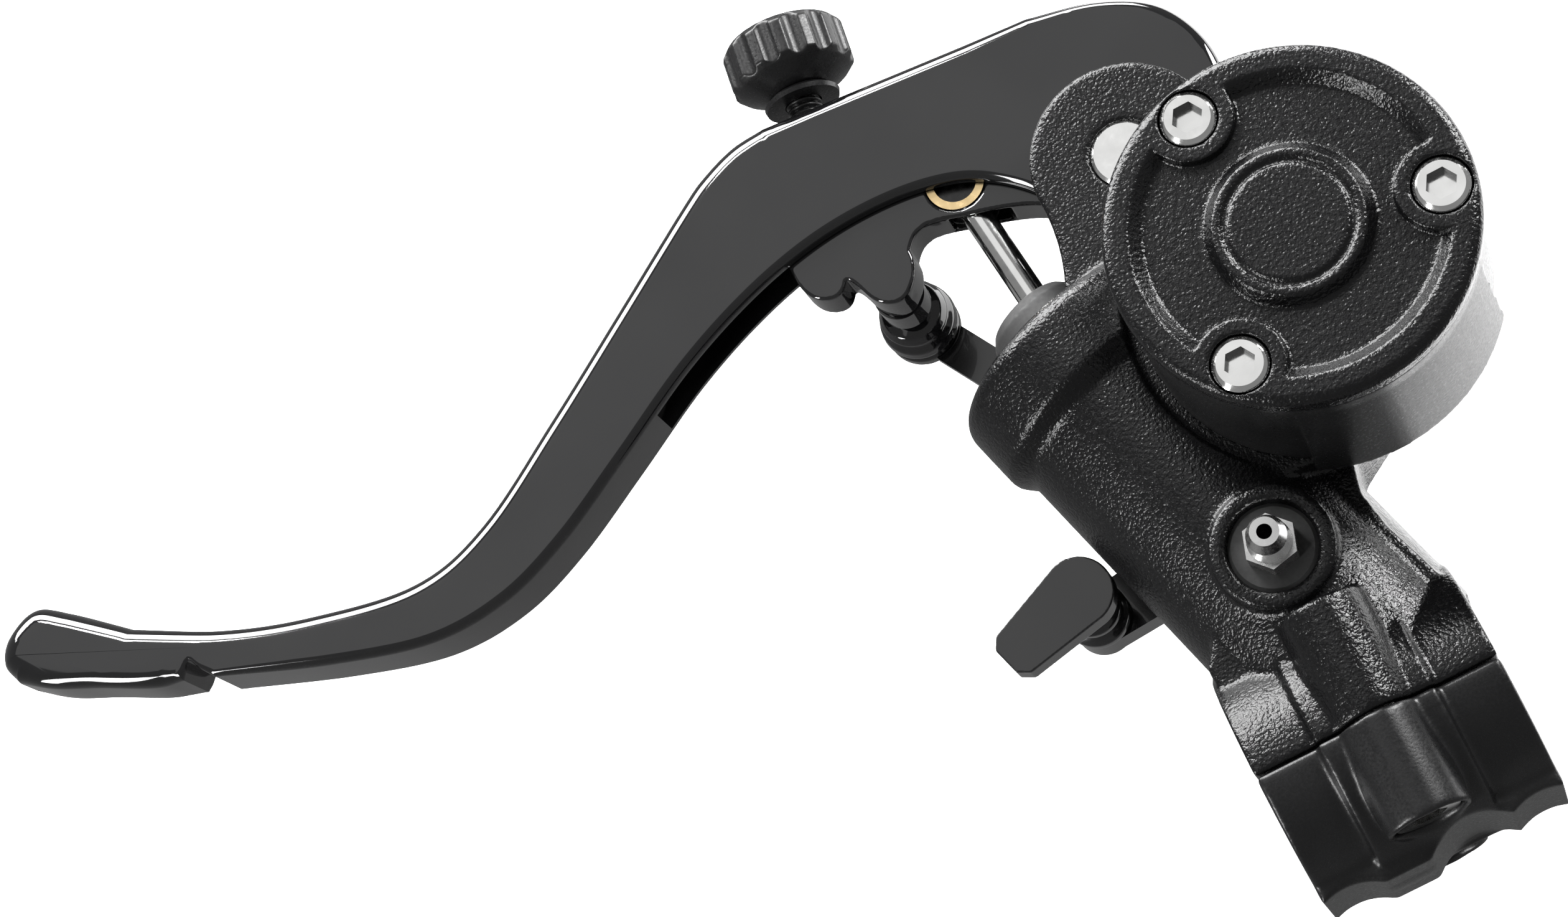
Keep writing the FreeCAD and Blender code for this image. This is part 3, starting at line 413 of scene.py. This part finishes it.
def smooth_run(points, steps=10):
    """Catmull-Rom curve through the points, without its last point."""
    ends = [(2 * points[0][0] - points[1][0], 2 * points[0][1] - points[1][1])]
    tail = [(2 * points[-1][0] - points[-2][0], 2 * points[-1][1] - points[-2][1])]
    line = ends + list(points) + tail
    run = []
    for a, b, c, d in zip(line, line[1:], line[2:], line[3:]):
        for step in range(steps):
            t = step / steps
            run.append(tuple(0.5 * (2 * q + (r - p) * t + (2 * p - 5 * q + 4 * r - s) * t * t
                                    + (3 * q - p - 3 * r + s) * t ** 3)
                             for p, q, r, s in zip(a, b, c, d)))
    return run


def straight_run(start, end, steps):
    return [(start[0] + (end[0] - start[0]) * i / steps, start[1] + (end[1] - start[1]) * i / steps)
            for i in range(steps)]


def blade_outline():
    """Points round the blade with (bevel across, bevel down, roundness) at each."""
    tip = [(-185.0, 104.6), (-186.3, 108.4), (-184.0, 112.2), (-178.4, 114.4),
           (-173.2, 111.2), (-164.5, 103.6)]
    outer = [(-164.5, 103.6), (-151.0, 96.2), (-136.8, 91.2), (-120.0, 88.0), (-106.8, 91.3),
             (-90.6, 101.1), (-74.0, 111.9), (-58.0, 122.4), (-52.8, 125.3), (-47.0, 127.3),
             (-41.5, 127.7)]
    shoulder = [(2.0, 122.9), (13.0, 119.6), (20.6, 114.4), (24.3, 106.5), (24.2, 98.0), (21.2, 89.5),
                (14.8, 83.0), (5.0, 80.9), (-4.2, 88.0)]
    inner = [(-4.2, 88.0), (-8.0, 96.0), (-14.5, 102.4), (-22.0, 105.6), (-32.0, 106.9), (-43.0, 106.2),
             (-55.0, 103.2), (-68.0, 97.9), (-82.4, 89.9), (-96.0, 82.6), (-108.0, 78.4), (-121.0, 78.0),
             (-137.0, 82.6), (-154.6, 89.6)]
    notch = [(-154.6, 89.6), (-156.4, 92.0), (-157.4, 93.9), (-158.6, 92.6), (-159.6, 91.6)]
    heel = [(-159.6, 91.6), (-165.0, 93.2), (-173.0, 97.4), (-180.0, 100.9), (-185.0, 104.6)]
    stretches = [
        (smooth_run(tip), 3.2, 3.6, 1.0),
        (smooth_run(outer), 2.9, 2.4, 1.0),
        (straight_run(outer[-1], shoulder[0], 30), 2.5, 2.2, 1.0),
        (smooth_run(shoulder), 1.5, 1.5, 0.9),
        (smooth_run(inner), 1.5, 1.6, 1.0),
        (smooth_run(notch, 4), 0.6, 0.6, 1.0),
        (smooth_run(heel), 2.2, 2.4, 1.0),
    ]
    rows = [(x, y, across, down, roundness) for run, across, down, roundness in stretches
            for x, y in run]
    return ease_rows(rows, 6)


def ease_rows(rows, reach):
    """Averages the bevel sizes along the outline, so that one stretch flows into the next."""
    count = len(rows)
    eased = []
    for index, row in enumerate(rows):
        around = [rows[(index + k) % count] for k in range(-reach, reach + 1)]
        sizes = tuple(sum(item[j] for item in around) / len(around) for j in (2, 3, 4))
        eased.append((row[0], row[1]) + sizes)
    return eased


def inward(rows, index):
    count = len(rows)
    before = rows[(index - 2) % count]
    after = rows[(index + 2) % count]
    along = Vector((after[0] - before[0], after[1] - before[1])).normalized()
    return Vector((along.y, -along.x))


def edge_profile(across, down, roundness, steps=5):
    """(inset, drop) pairs from the side wall to the flat face, between a chamfer and a round."""
    pairs = []
    for step in range(steps + 1):
        t = step / steps
        turn = t * math.pi / 2
        inset = (1 - roundness) * t + roundness * (1 - math.cos(turn))
        drop = (1 - roundness) * (1 - t) + roundness * (1 - math.sin(turn))
        pairs.append((inset * across, drop * down))
    return pairs


def prism_mesh(name, outline, low, high):
    """Closed prism in millimetres, as a mesh in metres."""
    form = bmesh.new()
    bottom = [form.verts.new((x * MM, y * MM, low * MM)) for x, y in outline]
    top = [form.verts.new((x * MM, y * MM, high * MM)) for x, y in outline]
    count = len(outline)
    form.faces.new(bottom)
    form.faces.new(top)
    for index in range(count):
        following = (index + 1) % count
        form.faces.new((bottom[index], bottom[following], top[following], top[index]))
    bmesh.ops.recalc_face_normals(form, faces=form.faces)
    mesh = bpy.data.meshes.new(name)
    form.to_mesh(mesh)
    form.free()
    return mesh


def carve(mesh, cutters):
    """Mesh less each cutter mesh."""
    piece = bpy.data.objects.new("carving", mesh)
    bpy.context.scene.collection.objects.link(piece)
    tools = []
    for cutter in cutters:
        tool = bpy.data.objects.new("cutter", cutter)
        bpy.context.scene.collection.objects.link(tool)
        difference = piece.modifiers.new("cut", "BOOLEAN")
        difference.operation = "DIFFERENCE"
        difference.solver = "EXACT"
        difference.object = tool
        tools.append(tool)
    bpy.context.view_layer.update()
    result = bpy.data.meshes.new_from_object(piece.evaluated_get(bpy.context.evaluated_depsgraph_get()))
    for item in tools + [piece]:
        bpy.data.objects.remove(item)
    return result


def blade_mesh():
    rows = blade_outline()
    form = bmesh.new()
    levels = []
    profiles = [edge_profile(*row[2:]) for row in rows]
    steps = len(profiles[0])
    order = [(k, -1) for k in reversed(range(steps))] + [(k, 1) for k in range(steps)]
    normals = [inward(rows, index) for index in range(len(rows))]
    for k, side in order:
        ring = []
        for row, profile, normal in zip(rows, profiles, normals):
            inset, drop = profile[k]
            height = side * (BLADE_HALF - drop)
            ring.append(form.verts.new(((row[0] + normal.x * inset) * MM,
                                        (row[1] + normal.y * inset) * MM, height * MM)))
        levels.append(ring)
    count = len(rows)
    for low, high in zip(levels, levels[1:]):
        for index in range(count):
            following = (index + 1) % count
            form.faces.new((low[index], low[following], high[following], high[index]))
    form.faces.new(levels[0])
    form.faces.new(levels[-1])
    bmesh.ops.triangulate(form, faces=[f for f in form.faces if len(f.verts) > 4])
    bmesh.ops.recalc_face_normals(form, faces=form.faces)
    mesh = bpy.data.meshes.new("blade")
    form.to_mesh(mesh)
    form.free()
    slot = smooth_run([(30, 104.5), (8, 107.5), (-6, 112.0), (-22, 117.2), (-34, 118.6), (-50, 114.6),
                       (-60, 107.5), (-70, 101.2), (-76.2, 96.5)], 8)
    slot += [(-76.2, 96.5), (-72.5, 88.0), (-30, 70), (30, 70)]
    hole = [(PIVOT[0] + PIN_RADIUS * math.cos(a), PIVOT[1] + PIN_RADIUS * math.sin(a))
            for a in (2 * math.pi * k / 48 for k in range(48))]
    cutters = [prism_mesh("slot", slot, -SLOT_HALF, SLOT_HALF), prism_mesh("hole", hole, -9, 9)]
    return carve(mesh, cutters)


def lever_blade():
    piece = add_piece("lever_blade_lacquered", blade_mesh(), "gloss_black", "blade", ["lever_blade"])
    shade(piece, 25)
    even = piece.modifiers.new("even_shading", "WEIGHTED_NORMAL")
    even.keep_sharp = True


# ---------------------------------------------------------------- adjuster thread

def tube_mesh(name, rings):
    """Closed tube through rings of points."""
    form = bmesh.new()
    grid = [[form.verts.new(spot) for spot in ring] for ring in rings]
    around = len(grid[0])
    for lower, upper in zip(grid, grid[1:]):
        for index in range(around):
            following = (index + 1) % around
            form.faces.new((lower[index], lower[following], upper[following], upper[index]))
    form.faces.new(grid[0])
    form.faces.new(grid[-1])
    bmesh.ops.recalc_face_normals(form, faces=form.faces)
    mesh = bpy.data.meshes.new(name)
    form.to_mesh(mesh)
    form.free()
    return mesh


KNOB_SEAT = Vector((-34.7, 127.1, 0.0)) * MM
KNOB_ANGLE = math.radians(83.5)
THREAD_PITCH = 1.0
THREAD_MAJOR = 2.87
THREAD_MINOR = 2.35
THREAD_START = -12.2
THREAD_END = 5.3
CREST_WIDTH = 1.35
POINT_RADIUS = 1.7
POINT_SLOPE = 0.8


def adjuster_thread():
    """Stem with a real helical thread along its exposed length."""
    axis = Vector((math.cos(KNOB_ANGLE), math.sin(KNOB_ANGLE), 0))
    turn = Vector((0, 0, 1)).rotation_difference(axis).to_matrix()
    around = 40
    per_pitch = 8
    length = THREAD_END - THREAD_START
    rings = int(length / THREAD_PITCH * per_pitch)
    grid = []
    for level in range(rings + 1):
        along = THREAD_START + length * level / rings
        ring = []
        for spoke in range(around):
            angle = 2 * math.pi * spoke / around
            phase = (along / THREAD_PITCH + spoke / around) % 1.0
            crest = 1 - abs(2 * phase - 1)
            radius = THREAD_MINOR + (THREAD_MAJOR - THREAD_MINOR) * min(1.0, crest * CREST_WIDTH)
            if along < THREAD_START + 1.0:
                radius = min(radius, POINT_RADIUS + (along - THREAD_START) * POINT_SLOPE)
            spot = turn @ Vector((radius * math.cos(angle), radius * math.sin(angle), along))
            ring.append(KNOB_SEAT + spot * MM)
        grid.append(ring)
    mesh = tube_mesh("thread", grid)
    piece = add_piece("adjuster_thread", mesh, "satin_black", "knob", ["adjuster_screw"])
    shade(piece, 60)


# ---------------------------------------------------------------- return spring

BARREL_TURN = math.radians(16)
BARREL_AXIS = Vector((-math.sin(BARREL_TURN), math.cos(BARREL_TURN), 0))
BARREL_SIDE = Vector((math.cos(BARREL_TURN), math.sin(BARREL_TURN), 0)) * 5.3 * MM
COIL_RADIUS = 6.3
WIRE_RADIUS = 0.6
COIL_START = 17.65
COIL_END = 33.3
COIL_TURNS = 5
STEPS_PER_TURN = 48


def return_coil():
    """Coil from the bore's blind end to the piston's shoulder, at one fixed length."""
    steps, sides = STEPS_PER_TURN * COIL_TURNS, 12
    rings = []
    for step in range(steps + 1):
        angle = 2 * math.pi * step / STEPS_PER_TURN
        outward = BARREL_SIDE.normalized() * math.cos(angle) + Vector((0, 0, 1)) * math.sin(angle)
        centre = BARREL_SIDE + (BARREL_AXIS * (COIL_START + (COIL_END - COIL_START) * step / steps)
                                + outward * COIL_RADIUS) * MM
        ring = []
        for side in range(sides):
            spin = 2 * math.pi * side / sides
            offset = (outward * math.cos(spin) + BARREL_AXIS * math.sin(spin)) * WIRE_RADIUS * MM
            ring.append(centre + offset)
        rings.append(ring)
    mesh = tube_mesh("coil", rings)
    piece = add_piece("return_coil", mesh, "plain_steel", "cylinder", ["return_spring"])
    shade(piece, 60)
    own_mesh(piece)


camera()
studio()
finish_nodes()
lever_blade()
adjuster_thread()
return_coil()
